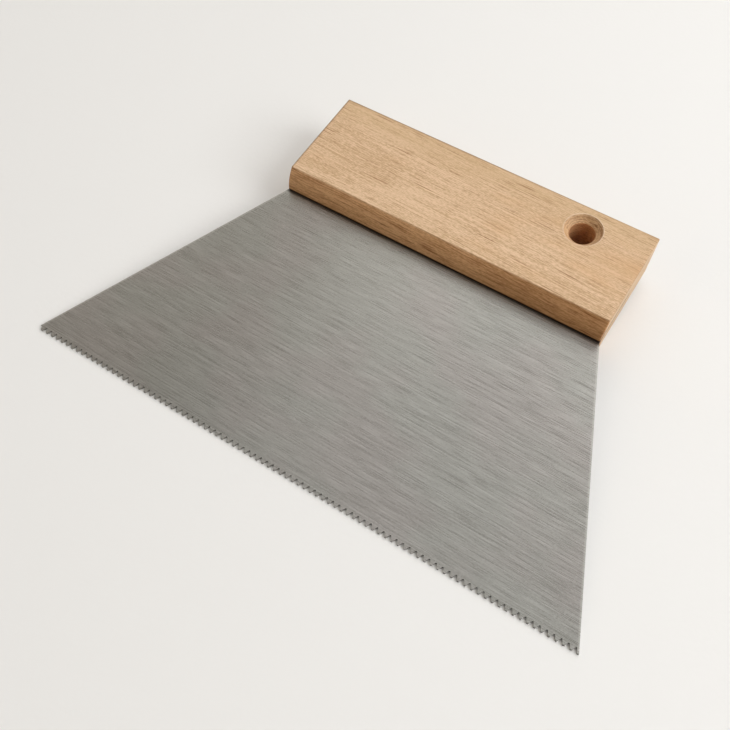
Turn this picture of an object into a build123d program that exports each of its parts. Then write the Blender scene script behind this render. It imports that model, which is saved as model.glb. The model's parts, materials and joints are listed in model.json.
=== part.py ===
from build123d import *

import os
from math import asin, atan2, cos, hypot, radians, sin, sqrt, tan

# A notched trowel for spreading adhesive: a beech block with a thin steel blade set in a saw kerf
# along its rounded front. It lies as it rests on a bench, blade down: the tooth tips and the lower
# front crease of the handle touch z = 0, and the back of the handle is raised a little.
# +X runs along the handle towards its hanging hole, +Y from the teeth to the back of the handle,
# and the origin is under the middle of the tool's bounding box. Millimetres.

# ---------------------------------------------------------------- driving dimensions
# Handle, a block with a bullnose front
handle_length = 110.0
handle_depth = 36.5
handle_thickness = 16.0
nose_radius = 12.0
crease_radius = 0.4  # where the bullnose meets the flat faces
arris_radius = 0.35  # sanded edges of the ends and the back

# Blade, a trapezoid of sheet steel with a straight tang
blade_width = 180.0
blade_reach = 83.15  # from the front of the handle to the tooth tips
blade_thickness = 0.7
tang_depth = 20.0

# Notches, punched V shapes with a rounded root
tooth_pitch = 2.0
notch_mouth = 1.5
notch_depth = 1.3
notch_angle = 50.0
pattern_shift = 0.7  # the punched row isn't quite centred on the blade

# Saw kerf, and the adhesive in it
kerf_width = 1.4
kerf_depth = 20.5
bond_setback = 1.6  # from the front of the handle
bond_end_setback = 1.0  # from each end of the handle

# Hanging hole
hole_radius = 4.0
sink_radius = 6.0
sink_angle = 90.0
hole_from_end = 20.7
hole_from_back = 8.6
underside_break = 0.5

# Nails, driven from the underside
nail_radius = 0.9
nail_length = 12.5
nail_point = 2.0
nail_head_radius = 1.7
nail_head_rim = 0.4
nail_head_taper = 0.8
nail_spacing = 40.0
nail_count = 3
nail_from_front = 11.0

# ---------------------------------------------------------------- how the tool lies
half_thickness = handle_thickness / 2
half_blade = blade_thickness / 2

# The rounded lower crease is a small arc; its centre, seen along X from the front of the handle
crease_y = nose_radius - sqrt((nose_radius - crease_radius) ** 2 - (half_thickness - crease_radius) ** 2)
crease_z = crease_radius - half_thickness

# The bench touches the blade's lower tooth tips and that arc
tips_to_crease = crease_y + blade_reach
crease_drop = -half_blade - crease_z
rest_tilt = atan2(crease_drop, tips_to_crease) + asin(crease_radius / hypot(tips_to_crease, crease_drop))

tips_back = blade_reach * cos(rest_tilt) + half_blade * sin(rest_tilt)
block_back = (
    (handle_depth - arris_radius) * cos(rest_tilt)
    + (half_thickness - arris_radius) * sin(rest_tilt)
    + arris_radius
)
nose_y = (tips_back - block_back) / 2
nose_z = blade_reach * sin(rest_tilt) + half_blade * cos(rest_tilt)

# The blade's middle plane, with its origin at the middle of the handle's front edge
blade_plane = Plane(origin=(0, nose_y, nose_z), x_dir=(1, 0, 0), z_dir=(0, -sin(rest_tilt), cos(rest_tilt)))
# The tool's cross-section: its own x runs back through the handle and its own y is up
section = Plane(origin=blade_plane.origin, x_dir=blade_plane.y_dir, z_dir=blade_plane.x_dir)
top_face = blade_plane.offset(half_thickness)
underside = blade_plane.offset(-half_thickness)


# ---------------------------------------------------------------- nails
nail_places = [((i - (nail_count - 1) / 2) * nail_spacing, nail_from_front) for i in range(nail_count)]
nail_head = nail_head_rim + nail_head_taper
nail_shank = nail_length - nail_head - nail_point
on_base = (Align.CENTER, Align.CENTER, Align.MIN)

with BuildPart(underside) as blade_nails:
    with Locations(*nail_places):
        Cylinder(nail_head_radius, nail_head_rim, align=on_base)
        with Locations((0, 0, nail_head_rim)):
            Cone(nail_head_radius, nail_radius, nail_head_taper, align=on_base)
        with Locations((0, 0, nail_head)):
            Cylinder(nail_radius, nail_shank, align=on_base)
        with Locations((0, 0, nail_head + nail_shank)):
            Cone(nail_radius, 0, nail_point, align=on_base)
blade_nails.part.label = "blade_nails"


# ---------------------------------------------------------------- blade
# A notch is a V whose apex is rounded until the notch has its stated depth
half_notch = radians(notch_angle / 2)
notch_apex = notch_mouth / 2 / tan(half_notch)
root_radius = (notch_apex - notch_depth) / (1 / sin(half_notch) - 1)
tooth_count = round(blade_width / tooth_pitch)
first_notch = pattern_shift - tooth_count / 2 * tooth_pitch
notch_places = [(first_notch + i * tooth_pitch, -blade_reach) for i in range(tooth_count + 1)]

with BuildSketch() as notch:
    with BuildLine():
        Polyline((-notch_mouth / 2, 0), (0, notch_apex), (notch_mouth / 2, 0), close=True)
    make_face()
    fillet(notch.vertices().sort_by(Axis.Y)[-1], root_radius)

with BuildPart() as blade:
    with BuildSketch(blade_plane):
        with BuildLine():
            Polyline(
                (-blade_width / 2, -blade_reach),
                (blade_width / 2, -blade_reach),
                (handle_length / 2, 0),
                (handle_length / 2, tang_depth),
                (-handle_length / 2, tang_depth),
                (-handle_length / 2, 0),
                close=True,
            )
        make_face()
        with Locations(*notch_places):
            add(notch.sketch, mode=Mode.SUBTRACT)
    extrude(amount=half_blade, both=True)
    add(blade_nails.part, mode=Mode.SUBTRACT)
blade.part.label = "blade"


# ---------------------------------------------------------------- adhesive in the kerf
bond_length = handle_length - 2 * bond_end_setback

with BuildPart() as adhesive_bond:
    with BuildSketch(section):
        with Locations((kerf_depth, 0)):
            Rectangle(kerf_depth - bond_setback, kerf_width, align=(Align.MAX, Align.CENTER))
    extrude(amount=bond_length / 2, both=True)
    add(blade.part, mode=Mode.SUBTRACT)
    add(blade_nails.part, mode=Mode.SUBTRACT)
adhesive_bond.part.label = "adhesive_bond"


# ---------------------------------------------------------------- handle
nose_end = nose_radius - sqrt(nose_radius**2 - half_thickness**2)
hole_place = (handle_length / 2 - hole_from_end, handle_depth - hole_from_back)

with BuildPart() as handle:
    with BuildSketch(section) as block_profile:
        with BuildLine():
            ThreePointArc((nose_end, -half_thickness), (0, 0), (nose_end, half_thickness))
            Polyline(
                (nose_end, half_thickness),
                (handle_depth, half_thickness),
                (handle_depth, -half_thickness),
                (nose_end, -half_thickness),
            )
        make_face()
        fillet(block_profile.vertices().group_by(Axis.X)[-1], arris_radius)
        fillet(block_profile.vertices().group_by(Axis.X)[0], crease_radius)
    extrude(amount=handle_length / 2, both=True)
    end_faces = handle.faces().filter_by(Axis.X)
    fillet(end_faces.edges(), arris_radius)
    with BuildSketch(section):
        with Locations((kerf_depth, 0)):
            Rectangle(2 * kerf_depth, kerf_width, align=(Align.MAX, Align.CENTER))
    extrude(amount=handle_length, both=True, mode=Mode.SUBTRACT)
    with Locations(top_face):
        with Locations(hole_place):
            CounterSinkHole(hole_radius, sink_radius, handle_thickness, sink_angle)
    hole_rims = handle.edges().filter_by(lambda edge: edge.geom_type == GeomType.CIRCLE)
    chamfer(hole_rims.filter_by(lambda rim: rim.radius == hole_radius).sort_by(Axis.Z)[0], underside_break)
    add(blade_nails.part, mode=Mode.SUBTRACT)
handle.part.label = "handle"


# ---------------------------------------------------------------- export
os.makedirs("parts", exist_ok=True)
for piece in (handle, blade, blade_nails, adhesive_bond):
    export_step(piece.part, f"parts/{piece.part.label}.step")
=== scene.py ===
import json
import math

import bpy
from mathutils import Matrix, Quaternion, Vector

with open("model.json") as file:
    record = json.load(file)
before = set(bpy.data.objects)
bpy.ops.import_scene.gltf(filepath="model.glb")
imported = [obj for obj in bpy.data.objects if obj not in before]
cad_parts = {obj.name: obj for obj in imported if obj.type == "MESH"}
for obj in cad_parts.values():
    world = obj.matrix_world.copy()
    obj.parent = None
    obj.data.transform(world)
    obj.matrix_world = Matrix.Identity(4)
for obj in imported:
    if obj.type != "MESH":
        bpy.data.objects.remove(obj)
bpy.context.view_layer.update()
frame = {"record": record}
MM = 0.001

# ---------------------------------------------------------------- the tool's own space
# The tool lies with its teeth and the handle's lower crease on the bench, so its flat faces are
# tilted about X. Tool space is in millimetres and has no tilt: x along the handle, y towards the
# handle's back, z square to the blade, with its origin at the middle of the handle's back face.
mounts = {mount["name"]: mount for mount in frame["record"]["mounts"]}
tool_up = Vector(mounts["hanging_hole"]["axis"]).normalized()
tool_back = Vector(mounts["handle_back"]["axis"]).normalized()
tool_origin = Vector(mounts["handle_back"]["pos_m"])
tilt = math.atan2(-tool_up.y, tool_up.z)
hole_from_origin = (Vector(mounts["hanging_hole"]["pos_m"]) - tool_origin) / MM
HOLE_X = hole_from_origin.x
HOLE_Y = hole_from_origin.dot(tool_back)

# Sizes in tool space
HALF_LENGTH = 55.0  # of the handle
FRONT_Y = -36.5  # the front of the handle, where the blade leaves it
CREASE_Y = FRONT_Y + 3.2  # where the flat faces begin, behind the rounded nose
KERF_HALF_WIDTH = 0.7
TEETH_Y = -119.65  # the tips of the teeth
BLADE_HALF_WIDTH = 90.0  # at the teeth
BORE_RADIUS = 4.0
SINK_RADIUS = 6.0  # the hole's edge on the upper face
BREAK_RADIUS = 4.5  # the hole's edge on the underside
NAIL_X = (-40.0, 0.0, 40.0)
NAIL_Y = -25.5

# ---------------------------------------------------------------- camera
CAMERA_PLACE = Vector((0.07005, -0.13650, 0.20707))
CAMERA_AIM = Vector((0.01035, -0.04279, 0.00800))
CAMERA_ROLL = math.radians(0.798)
CAMERA_LENS = 41.39
CAMERA_SHIFT = (0.0254, 0.0941)


def make_camera():
    """The viewpoint: above the toothed edge, a little to the right, looking down at the handle."""
    data = bpy.data.cameras.new("camera")
    data.lens = CAMERA_LENS
    data.shift_x, data.shift_y = CAMERA_SHIFT
    data.clip_start = 0.01
    data.clip_end = 10.0
    camera = bpy.data.objects.new("camera", data)
    bpy.context.scene.collection.objects.link(camera)
    look = (CAMERA_AIM - CAMERA_PLACE).to_track_quat("-Z", "Y")
    camera.rotation_mode = "QUATERNION"
    camera.rotation_quaternion = look @ Quaternion((0, 0, 1), CAMERA_ROLL)
    camera.location = CAMERA_PLACE
    bpy.context.scene.camera = camera


# ---------------------------------------------------------------- nodes
class Graph:
    """A node material, with short calls for its nodes. Each call returns the socket it makes."""

    def __init__(self, name):
        self.material = bpy.data.materials.new(name)
        self.material.use_nodes = True
        self.tree = self.material.node_tree
        self.shader = self.tree.nodes["Principled BSDF"]

    def feed(self, socket, value):
        """Set a socket to a value, or link it to another socket."""
        if isinstance(value, bpy.types.NodeSocket):
            self.tree.links.new(value, socket)
        else:
            socket.default_value = value

    def node(self, kind, inputs, **settings):
        """A node with its settings. inputs has values or sockets by name or number."""
        node = self.tree.nodes.new("ShaderNode" + kind)
        for name, value in settings.items():
            setattr(node, name, value)
        for name, value in inputs.items():
            self.feed(node.inputs[name], value)
        return node

    def surface(self, inputs):
        """Set or link the shader's own inputs."""
        for name, value in inputs.items():
            self.feed(self.shader.inputs[name], value)

    def stretched(self, place, size, origin=(0, 0, 0), turn=(0, 0, 0)):
        """place from origin, along turned axes and in units of size, which makes a pattern that big."""
        inputs = {"Vector": place, "Location": origin, "Rotation": turn, "Scale": size}
        return self.node("Mapping", inputs, vector_type="TEXTURE").outputs[0]

    def tool_space(self):
        """The point being shaded, in tool space."""
        place = self.node("TexCoord", {}).outputs["Object"]
        return self.stretched(place, (MM, MM, MM), tool_origin, (tilt, 0, 0))

    def tool_normal(self):
        """The way the surface faces, in tool space."""
        normal = self.node("TexCoord", {}).outputs["Normal"]
        return self.stretched(normal, (1, 1, 1), turn=(tilt, 0, 0))

    def parts(self, vector):
        """The x, y and z of a vector, or the red, green and blue of a colour."""
        return tuple(self.node("SeparateXYZ", {0: vector}).outputs)

    def vector_math(self, operation, *inputs):
        node = self.node("VectorMath", dict(enumerate(inputs)), operation=operation)
        return node.outputs["Value" if operation in ("LENGTH", "DISTANCE") else "Vector"]

    def math(self, operation, *inputs):
        return self.node("Math", dict(enumerate(inputs)), operation=operation).outputs[0]

    def product(self, value, *others):
        """All the values multiplied together."""
        for other in others:
            value = self.math("MULTIPLY", value, other)
        return value

    def weighted(self, start, *terms):
        """start, plus weight * (value - middle) for each term of value, weight and middle."""
        total = start - sum(weight * middle for value, weight, middle in terms)
        for value, weight, middle in terms:
            total = self.math("MULTIPLY_ADD", value, weight, total)
        return total

    def step(self, value, low, high):
        """0 at low and 1 at high, smooth between and flat beyond. low may be the greater."""
        inputs = {"Value": value, "From Min": low, "From Max": high}
        return self.node("MapRange", inputs, interpolation_type="SMOOTHSTEP").outputs[0]

    def noise(self, place, detail=2.0):
        return self.node("TexNoise", {"Vector": place, "Scale": 1.0, "Detail": detail}).outputs[0]

    def noise_vector(self, place):
        return self.node("TexNoise", {"Vector": place, "Scale": 1.0, "Detail": 1.0}).outputs["Color"]

    def noise_along(self, value):
        """Noise that changes with one value only."""
        return self.node("TexNoise", {"W": value, "Scale": 1.0}, noise_dimensions="1D").outputs[0]

    def flecks(self, place, reach, share):
        """Scattered marks, up to 1 in their middles. reach is their half size, share how many show."""
        cells = self.node("TexVoronoi", {"Vector": place, "Scale": 1.0})
        shape = self.step(cells.outputs["Distance"], reach, 0.4 * reach)
        chance = self.parts(cells.outputs["Color"])[0]
        return self.math("MULTIPLY", shape, self.step(chance, 1.0 - share, 1.0 - 0.4 * share))

    def blend(self, factor, a, b, kind="MIX"):
        """Colour a with b over it by factor."""
        inputs = {0: factor, 6: a, 7: b}
        return self.node("Mix", inputs, data_type="RGBA", blend_type=kind).outputs[2]

    def coat(self, colour, over, *shares):
        """Cover a colour with another, by the product of the shares."""
        return self.blend(self.product(*shares), colour, over)

    def tint(self, colour, by, *shares):
        """Multiply a colour by another, by the product of the shares."""
        return self.blend(self.product(*shares), colour, by, "MULTIPLY")

    def bump(self, height, distance):
        """A normal for a surface raised by height times distance, in metres."""
        return self.node("Bump", {"Height": height, "Distance": distance}).outputs[0]


def finish_node(name, graph):
    """Give a CAD node this graph's material, through the object's own slots."""
    for slot in bpy.data.objects[name].material_slots:
        slot.link = "OBJECT"
        slot.material = graph.material


# ---------------------------------------------------------------- beech
BEECH_LIGHT = (0.73, 0.513, 0.325, 1)
BEECH_DARK = (0.50, 0.315, 0.165, 1)
BEECH_ORANGE = (0.64, 0.39, 0.20, 1)
BEECH_GOLD = (0.56, 0.375, 0.195, 1)
BEECH_END_LIGHT = (0.66, 0.46, 0.285, 1)
BEECH_END_DARK = (0.46, 0.29, 0.16, 1)
FLECK_TINT = (0.54, 0.41, 0.30, 1)
# Painted shade on the moulded nose, deeper towards its right end
NOSE_SHADE = (0.97, 0.79, 0.60, 1)
NOSE_RIGHT_SHADE = (0.80, 0.61, 0.42, 1)
DRILLED_TINT = (1.0, 0.94, 0.86, 1)
# Painted shade along the arrises and a border beside them
EDGE_SHADE = (0.46, 0.40, 0.36, 1)
# Painted shadow at the mouth of the kerf
KERF_SHADE = (0.30, 0.22, 0.17, 1)
BORE_TINT = (0.98, 0.82, 0.71, 1)
# A painted highlight round the hole's rim
RIM_HIGHLIGHT = (0.86, 0.69, 0.52, 1)

# The tree the block was sawn from
GRAIN_TURN = (0, 0, math.radians(-2.5))
PITH = (0, -20, -75)  # the middle of the tree, below the block
PITH_TURN = (0, math.radians(1.6), math.radians(-1.0))
RING_WIDTH = 2.6
WANDER_SIZE = (45, 14, 14)
WANDER = (0, 1.4, 1.4)  # how far the grain strays from straight
UNEVEN_RINGS = 0.12  # per mm of radius, how often their width changes
RAYS_ROUND = 170.0  # per radian round the pith
RAYS_ALONG = 0.12  # per mm of radius

# Sizes of the wood's marks: along the handle, across it and through it
FIBRE_SIZE = (26, 0.26, 0.26)
SHORT_FIBRE_SIZE = (1.1, 0.2, 0.2)
BAND_SIZE = (60, 5, 5)
PATCH_SIZE = (38, 16, 16)
FINE_FLECK_SIZE = (8, 0.4, 0.6)
BOLD_FLECK_SIZE = (13, 0.6, 0.9)
STREAK_SIZE = (30, 0.45, 0.45)
PORE_SIZE = (0.3, 0.3, 0.3)
CHATTER_SIZE = (2.5, 2.5, 0.6)
HALF_RIDGE_SPACING = 0.3  # of the ridges that the bit left


def along_grain(wood, bent, size):
    """The place for a pattern of this size that follows the grain."""
    return wood.stretched(bent, size, turn=GRAIN_TURN)


def growth_rings(wood, bent):
    """Circles round the pith: how late in its year the wood is, its radius and its angle."""
    round_pith = wood.stretched(bent, (1, 1, 1), PITH, PITH_TURN)
    _, across, up = wood.parts(round_pith)
    radius = wood.vector_math("LENGTH", wood.vector_math("MULTIPLY", round_pith, (0, 1, 1)))
    uneven = wood.noise_along(wood.math("MULTIPLY", radius, UNEVEN_RINGS))
    ring = wood.math("FRACT", wood.weighted(0, (radius, 1 / RING_WIDTH, 0), (uneven, 2.0, 0)))
    # A ring darkens slowly and ends sharply
    late = wood.product(wood.step(ring, 0.35, 0.9), wood.step(ring, 1.0, 0.93))
    return late, radius, wood.math("ARCTAN2", across, up)


def add_end_grain(wood, colour, place, late, rays, face_x):
    """The rings cut across on the ends, with rays along their radius and open pores."""
    pores = wood.flecks(wood.stretched(place, PORE_SIZE), reach=0.45, share=0.8)
    tone = wood.weighted(0.45, (late, 0.5, 0.3), (rays, 1.4, 0.5), (pores, 0.5, 0.2))
    end_colour = wood.blend(tone, BEECH_END_LIGHT, BEECH_END_DARK)
    return wood.blend(wood.step(face_x, 0.45, 0.85), colour, end_colour)


def drilled_hole(wood, place, z):
    """Distances in mm from the hole's axis and outside its edge, and 1 inside the edge.

    The edge is wider on the upper face, where the hole is countersunk, than on the underside.
    """
    flat_place = wood.vector_math("MULTIPLY", place, (1, 1, 0))
    from_axis = wood.vector_math("DISTANCE", flat_place, (HOLE_X, HOLE_Y, 0))
    edge_radius = wood.weighted(BREAK_RADIUS, (wood.step(z, -1, 1), SINK_RADIUS - BREAK_RADIUS, 0))
    outside = wood.math("SUBTRACT", from_axis, edge_radius)
    return from_axis, outside, wood.step(outside, 0.06, -0.06)


def drill_ridges(wood, place, z, drilled):
    """Rings that the chattering bit left on the hole's wall."""
    chatter = wood.noise(wood.stretched(place, CHATTER_SIZE))
    depth = wood.weighted(0, (z, 1.0, 0), (chatter, 1.4, 0))
    ridge = wood.math("PINGPONG", depth, HALF_RIDGE_SPACING)
    return wood.product(wood.step(ridge, 0.12, 0.27), drilled)


def add_nose_shade_and_streaks(wood, colour, bent, x, y, z):
    """Painted shade darkens the moulded nose, most towards its right end; the cutter darkened its long
    fibres, and painted shadow darkens the lips of the kerf."""
    nose = wood.step(y, CREASE_Y, CREASE_Y - 0.6)
    # Painted shade: the nose is darkened, more towards its right end
    nose_shade = wood.blend(wood.step(x, 5, 30), NOSE_SHADE, NOSE_RIGHT_SHADE)
    colour = wood.tint(colour, nose_shade, nose)
    streak = wood.noise(along_grain(wood, bent, STREAK_SIZE), detail=1.0)
    colour = wood.tint(colour, FLECK_TINT, wood.step(streak, 0.48, 0.7), nose, 0.6)
    # Painted shadow on the kerf's lips either side of the blade
    lip = wood.step(wood.math("ABSOLUTE", z), KERF_HALF_WIDTH + 0.4, KERF_HALF_WIDTH + 0.05)
    return wood.tint(colour, KERF_SHADE, lip, nose)


def add_edge_shade(wood, colour, x, y, facing, drilled):
    """Painted shade darkens the sanded arrises, where the surface faces no single way, and a narrow
    border beside the back and the left end. Both are darkest in the left half."""
    face_x, face_y, face_z = facing
    widest = wood.math("MAXIMUM", face_x, wood.math("MAXIMUM", face_y, face_z))
    behind_nose = wood.step(y, CREASE_Y, CREASE_Y + 0.8)
    undrilled = wood.math("SUBTRACT", 1.0, drilled)
    arris = wood.product(wood.step(widest, 0.985, 0.88), behind_nose, undrilled)
    from_edge = wood.math("MINIMUM", wood.math("ADD", x, HALF_LENGTH), wood.math("MULTIPLY", y, -1.0))
    border = wood.product(wood.step(from_edge, 0.75, 0.35), wood.step(face_z, 0.5, 0.8))
    # The painted shade is strongest at the left end and fades towards the right
    edge_shade_share = wood.weighted(0.2, (wood.step(x, HALF_LENGTH, 0), 0.6, 0))
    return wood.tint(colour, EDGE_SHADE, wood.math("MAXIMUM", arris, border), edge_shade_share)


def make_beech():
    """Sanded beech: growth rings, fine fibres, the short dark flecks of its rays, and end grain."""
    wood = Graph("sanded_beech")
    place = wood.tool_space()
    x, y, z = wood.parts(place)
    facing = [wood.math("ABSOLUTE", part) for part in wood.parts(wood.tool_normal())]
    wander = wood.noise_vector(wood.stretched(place, WANDER_SIZE))
    bent = wood.vector_math("MULTIPLY_ADD", wander, WANDER, place)

    fibre = wood.noise(along_grain(wood, bent, FIBRE_SIZE), detail=1.0)
    short_fibre = wood.noise(along_grain(wood, bent, SHORT_FIBRE_SIZE), detail=1.0)
    band = wood.noise(along_grain(wood, bent, BAND_SIZE))
    patch = wood.noise(wood.stretched(place, PATCH_SIZE))
    fine_flecks = wood.flecks(along_grain(wood, bent, FINE_FLECK_SIZE), reach=0.42, share=0.7)
    bold_flecks = wood.flecks(along_grain(wood, bent, BOLD_FLECK_SIZE), reach=0.42, share=0.2)
    flecks = wood.math("MAXIMUM", wood.product(fine_flecks, 0.6), bold_flecks)
    late, radius, angle = growth_rings(wood, bent)

    tone = wood.weighted(
        0.42,
        (fibre, 2.4, 0.5),
        (short_fibre, 2.8, 0.5),
        (band, 0.4, 0.5),
        (patch, 0.4, 0.5),
        (late, 0.2, 0.3),
    )
    colour = wood.blend(tone, BEECH_LIGHT, BEECH_DARK)
    colour = wood.coat(colour, BEECH_ORANGE, wood.step(patch, 0.55, 0.85))
    # The wood is more golden in an uneven strip along the back
    golden = wood.step(wood.weighted(0, (y, 1.0, 0), (band, 8.0, 0.5)), -13, -1)
    colour = wood.coat(colour, BEECH_GOLD, golden, 0.45)
    colour = wood.tint(colour, FLECK_TINT, flecks, 0.85)

    # Rays run out from the pith, so they are thin round it and long across the rings
    round_place = wood.math("MULTIPLY", angle, RAYS_ROUND)
    along_place = wood.math("MULTIPLY", radius, RAYS_ALONG)
    rays = wood.noise(wood.node("CombineXYZ", {0: round_place, 1: along_place}).outputs[0])
    colour = add_end_grain(wood, colour, place, late, rays, facing[0])

    # A painted highlight runs round the hole's rim, and drilling darkened its wall, most in the bore
    from_axis, outside_hole, drilled = drilled_hole(wood, place, z)
    ridge = drill_ridges(wood, place, z, drilled)
    rim_highlight = wood.step(wood.math("ABSOLUTE", outside_hole), 0.3, 0.05)
    bore = wood.step(from_axis, BORE_RADIUS + 0.12, BORE_RADIUS + 0.02)
    colour = wood.coat(colour, RIM_HIGHLIGHT, rim_highlight, 0.5)
    colour = wood.tint(colour, DRILLED_TINT, drilled)
    colour = wood.tint(colour, BORE_TINT, bore)
    colour = wood.tint(colour, FLECK_TINT, ridge, 0.6)

    colour = add_nose_shade_and_streaks(wood, colour, bent, x, y, z)
    colour = add_edge_shade(wood, colour, x, y, facing, drilled)

    height = wood.weighted(0, (fibre, 1.0, 0), (flecks, -0.7, 0), (ridge, 1.5, 0), (rays, 0.3, 0))
    roughness = wood.weighted(0.55, (fibre, 0.3, 0.5), (flecks, 0.15, 0), (patch, 0.15, 0.5))
    wood.surface(
        {
            "Base Color": colour,
            "Roughness": roughness,
            "Specular IOR Level": 0.35,
            "Normal": wood.bump(height, 0.03 * MM),
        }
    )
    return wood


# ---------------------------------------------------------------- blade
STEEL_LIGHT = (0.42, 0.405, 0.385, 1)
STEEL_DARK = (0.245, 0.235, 0.215, 1)
STEEL_COOL = (0.985, 1.0, 0.975, 1)
STEEL_WARM = (1.0, 0.975, 0.965, 1)
STEEL_CUT = (0.48, 0.465, 0.43, 1)
STEEL_SHADE = (0.05, 0.045, 0.035, 1)  # painted shade, in the notch roots, on the tooth tips and in the corner by the handle
SIDE_SLOPE = (BLADE_HALF_WIDTH - HALF_LENGTH) / (FRONT_Y - TEETH_Y)

# Sizes of the steel's marks: along the handle, across it and through the blade
GRIT_SIZE = (0.6, 0.17, 0.17)
HAIR_SIZE = (9, 0.17, 0.17)
SCRATCH_SIZE = (26, 0.28, 0.28)
ROLLED_BAND_SIZE = (60, 3, 3)
CLOUD_SIZE = (34, 26, 26)
NICK_SIZE = (12, 0.35, 0.35)
RAGGED_SIZE = (3, 0.6, 0.6)


def make_blade_steel():
    """Sheet steel brushed along the handle, with duller punched edges."""
    steel = Graph("brushed_sheet_steel")
    place = steel.tool_space()
    x, y, _ = steel.parts(place)
    grit = steel.noise(steel.stretched(place, GRIT_SIZE), detail=1.0)
    hair = steel.noise(steel.stretched(place, HAIR_SIZE), detail=1.0)
    scratch = steel.noise(steel.stretched(place, SCRATCH_SIZE))
    band = steel.noise(steel.stretched(place, ROLLED_BAND_SIZE))
    cloud = steel.noise(steel.stretched(place, CLOUD_SIZE))
    nicks = steel.flecks(steel.stretched(place, NICK_SIZE), reach=0.3, share=0.25)

    tone = steel.weighted(
        0.5,
        (grit, 1.8, 0.5),
        (hair, 2.2, 0.5),
        (scratch, 1.4, 0.5),
        (band, 0.2, 0.5),
        (nicks, -0.3, 0),
    )
    colour = steel.blend(tone, STEEL_DARK, STEEL_LIGHT)
    cast = steel.blend(steel.step(cloud, 0.38, 0.62), STEEL_COOL, STEEL_WARM)
    colour = steel.tint(colour, cast, 1.0)

    # A thin burr runs along the sloping sides
    half_width = steel.weighted(HALF_LENGTH, (y, -SIDE_SLOPE, FRONT_Y))
    inset = steel.math("SUBTRACT", half_width, steel.math("ABSOLUTE", x))
    in_front = steel.step(y, FRONT_Y + 1, FRONT_Y)
    colour = steel.coat(colour, STEEL_CUT, steel.step(inset, 0.75, 0.3), in_front, 0.6)

    # The punched faces are dull, with painted shade in the roots of the notches and on the blunt tips
    _, *facing = steel.parts(steel.tool_normal())
    face_y, face_z = (steel.math("ABSOLUTE", part) for part in facing)
    cut = steel.step(face_z, 0.8, 0.4)
    among_teeth = steel.step(y, TEETH_Y + 3, TEETH_Y + 2)
    shaded_cut_colour = steel.coat(STEEL_CUT, STEEL_SHADE, steel.step(face_y, 0.45, 0.8), among_teeth)
    colour = steel.coat(colour, shaded_cut_colour, cut)

    # Painted shade also darkens the corner between the blade and the handle, with a ragged edge
    ragged = steel.noise(steel.stretched(place, RAGGED_SIZE))
    corner = steel.step(steel.weighted(0, (y, 1.0, FRONT_Y), (ragged, 0.8, 0.5)), -1.5, -0.2)
    colour = steel.coat(colour, STEEL_SHADE, corner, 0.75)

    roughness = steel.weighted(0.30, (hair, 0.2, 0.5), (scratch, 0.2, 0.5), (cut, 0.2, 0))
    height = steel.weighted(0, (hair, 1.0, 0), (scratch, 0.8, 0), (nicks, -0.5, 0))
    # Brushing spreads a highlight across the brushed lines
    across_brushing = steel.node("CombineXYZ", dict(enumerate(tool_back)))
    steel.surface(
        {
            "Base Color": colour,
            "Metallic": 1.0,
            "Roughness": roughness,
            "Anisotropic": 0.55,
            "Tangent": across_brushing.outputs[0],
            "Normal": steel.bump(height, 0.004 * MM),
        }
    )
    return steel


# ---------------------------------------------------------------- nails and adhesive
NAIL_LIGHT = (0.46, 0.45, 0.43, 1)
NAIL_DARK = (0.30, 0.285, 0.27, 1)
NAIL_RUST = (0.20, 0.11, 0.06, 1)
GLUE_LIGHT = (0.26, 0.17, 0.09, 1)
GLUE_DARK = (0.13, 0.075, 0.04, 1)
HALF_RING_SPACING = 0.17  # of the rings on a nail's head
MOTTLE_SIZE = (0.5, 0.5, 0.5)
RUST_SIZE = (1.1, 1.1, 1.1)
SMEAR_SIZE = (6, 0.7, 0.7)
BUBBLE_SIZE = (0.45, 0.45, 0.45)


def make_nail_steel():
    """Drawn wire nails: ringed, hammered heads with a little rust."""
    steel = Graph("nail_wire_steel")
    place = steel.tool_space()
    mottle = steel.noise(steel.stretched(place, MOTTLE_SIZE), detail=4.0)
    rust = steel.noise(steel.stretched(place, RUST_SIZE), detail=5.0)
    axes = [(nail_x, NAIL_Y, 0) for nail_x in NAIL_X]
    flat_place = steel.vector_math("MULTIPLY", place, (1, 1, 0))
    from_nail = steel.vector_math("DISTANCE", flat_place, axes[0])
    for axis in axes[1:]:
        from_nail = steel.math("MINIMUM", from_nail, steel.vector_math("DISTANCE", flat_place, axis))
    ring = steel.math("PINGPONG", from_nail, HALF_RING_SPACING)
    tone = steel.weighted(0.5, (mottle, 2.0, 0.5), (ring, 1.5, HALF_RING_SPACING / 2))
    colour = steel.blend(tone, NAIL_DARK, NAIL_LIGHT)
    colour = steel.coat(colour, NAIL_RUST, steel.step(rust, 0.56, 0.72))
    height = steel.weighted(0, (mottle, 1.0, 0), (ring, 2.0, 0), (rust, 0.6, 0))
    steel.surface(
        {
            "Base Color": colour,
            "Metallic": steel.step(rust, 0.72, 0.56),
            "Roughness": steel.weighted(0.42, (mottle, 0.4, 0.5), (rust, 0.5, 0.5)),
            "Normal": steel.bump(height, 0.04 * MM),
        }
    )
    return steel


def make_glue():
    """Cured adhesive: dull dark amber, with small bubbles and paler smears."""
    glue = Graph("cured_adhesive")
    place = glue.tool_space()
    smear = glue.noise(glue.stretched(place, SMEAR_SIZE), detail=3.0)
    bubbles = glue.flecks(glue.stretched(place, BUBBLE_SIZE), reach=0.35, share=0.5)
    tone = glue.weighted(0.5, (smear, 2.0, 0.5), (bubbles, 0.4, 0))
    height = glue.weighted(0, (smear, 1.0, 0), (bubbles, -1.0, 0))
    glue.surface(
        {
            "Base Color": glue.blend(tone, GLUE_LIGHT, GLUE_DARK),
            "Roughness": glue.weighted(0.6, (smear, 0.3, 0.5)),
            "Specular IOR Level": 0.4,
            "Normal": glue.bump(height, 0.05 * MM),
        }
    )
    return glue


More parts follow.
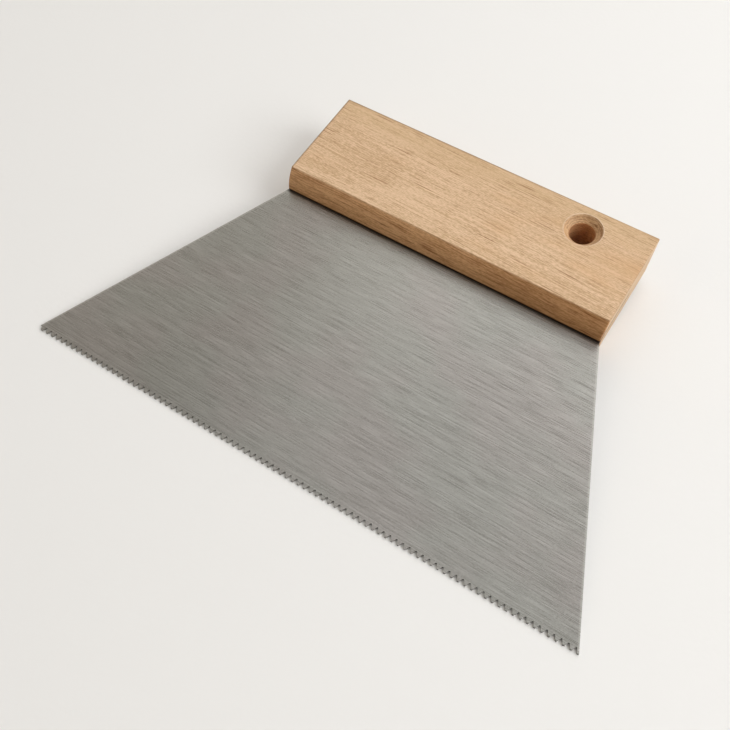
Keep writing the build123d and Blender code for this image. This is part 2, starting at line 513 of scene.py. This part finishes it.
# ---------------------------------------------------------------- stage
FLOOR_HALF_WIDTH = 3.0  # in metres
FLOOR_PAINT = (0.82, 0.81, 0.79, 1)
FLOOR_GRAIN_SIZE = (1.6 * MM, 1.6 * MM, 1.6 * MM)
ROOM_COLOUR = (1.0, 0.98, 0.95, 1)
WALL_STRENGTH = 0.30  # at the horizon
CEILING_STRENGTH = 0.11
CEILING_HEIGHT = 0.5  # as the sine of the angle above the horizon


def make_floor():
    """A pale painted bench top, much larger than the tool."""
    half = FLOOR_HALF_WIDTH
    mesh = bpy.data.meshes.new("floor")
    corners = [(-half, -half, 0), (half, -half, 0), (half, half, 0), (-half, half, 0)]
    mesh.from_pydata(corners, [], [(0, 1, 2, 3)])
    floor = bpy.data.objects.new("floor", mesh)
    bpy.context.scene.collection.objects.link(floor)
    paint = Graph("bench_paint")
    place = paint.node("TexCoord", {}).outputs["Object"]
    grain = paint.noise(paint.stretched(place, FLOOR_GRAIN_SIZE), detail=3.0)
    paint.surface(
        {
            "Base Color": FLOOR_PAINT,
            "Roughness": 0.7,
            "Specular IOR Level": 0.2,
            "Normal": paint.bump(grain, 0.03 * MM),
        }
    )
    mesh.materials.append(paint.material)


def make_room():
    """Dim surroundings, paler towards the horizon as the walls of a room are."""
    world = bpy.data.worlds.new("room")
    world.use_nodes = True
    tree = world.node_tree
    background = tree.nodes["Background"]
    direction = tree.nodes.new("ShaderNodeTexCoord")
    height = tree.nodes.new("ShaderNodeSeparateXYZ")
    strength = tree.nodes.new("ShaderNodeMapRange")
    strength.inputs["From Max"].default_value = CEILING_HEIGHT
    strength.inputs["To Min"].default_value = WALL_STRENGTH
    strength.inputs["To Max"].default_value = CEILING_STRENGTH
    tree.links.new(direction.outputs["Generated"], height.inputs[0])
    tree.links.new(height.outputs["Z"], strength.inputs["Value"])
    tree.links.new(strength.outputs[0], background.inputs["Strength"])
    background.inputs["Color"].default_value = ROOM_COLOUR
    bpy.context.scene.world = world


def make_softbox(name, place, size, power, colour):
    """A square area light at place, turned towards the tool. Metres and watts."""
    data = bpy.data.lights.new(name, "AREA")
    data.shape = "SQUARE"
    data.size = size
    data.energy = power
    data.color = colour
    light = bpy.data.objects.new(name, data)
    light.location = place
    light.rotation_mode = "QUATERNION"
    light.rotation_quaternion = (-Vector(place)).to_track_quat("-Z", "Y")
    bpy.context.scene.collection.objects.link(light)


def make_lights():
    make_softbox("right", (0.92, 0.08, 0.69), 0.7, 8.2, (1.0, 1.0, 1.0))
    make_softbox("back_right", (0.45, 0.90, 0.80), 0.9, 3.0, (1.0, 1.0, 1.0))
    make_softbox("back", (-0.10, 1.30, 0.90), 1.2, 6.6, (1.0, 1.0, 1.0))
    make_softbox("left", (-1.04, 0.72, 0.98), 1.4, 4.3, (1.0, 0.96, 0.90))
    make_softbox("front_left", (-0.80, -0.80, 0.70), 0.9, 2.2, (1.0, 0.85, 0.66))
    make_softbox("front", (1.50, -1.90, 1.00), 1.4, 2.4, (1.0, 0.98, 0.95))
    make_softbox("overhead", (0.15, 0.30, 1.45), 1.6, 6.5, (1.0, 1.0, 1.0))


make_camera()
finish_node("handle", make_beech())
finish_node("blade", make_blade_steel())
finish_node("blade_nails", make_nail_steel())
finish_node("adhesive_bond", make_glue())
make_floor()
make_room()
make_lights()
bpy.context.scene.view_settings.view_transform = "Standard"
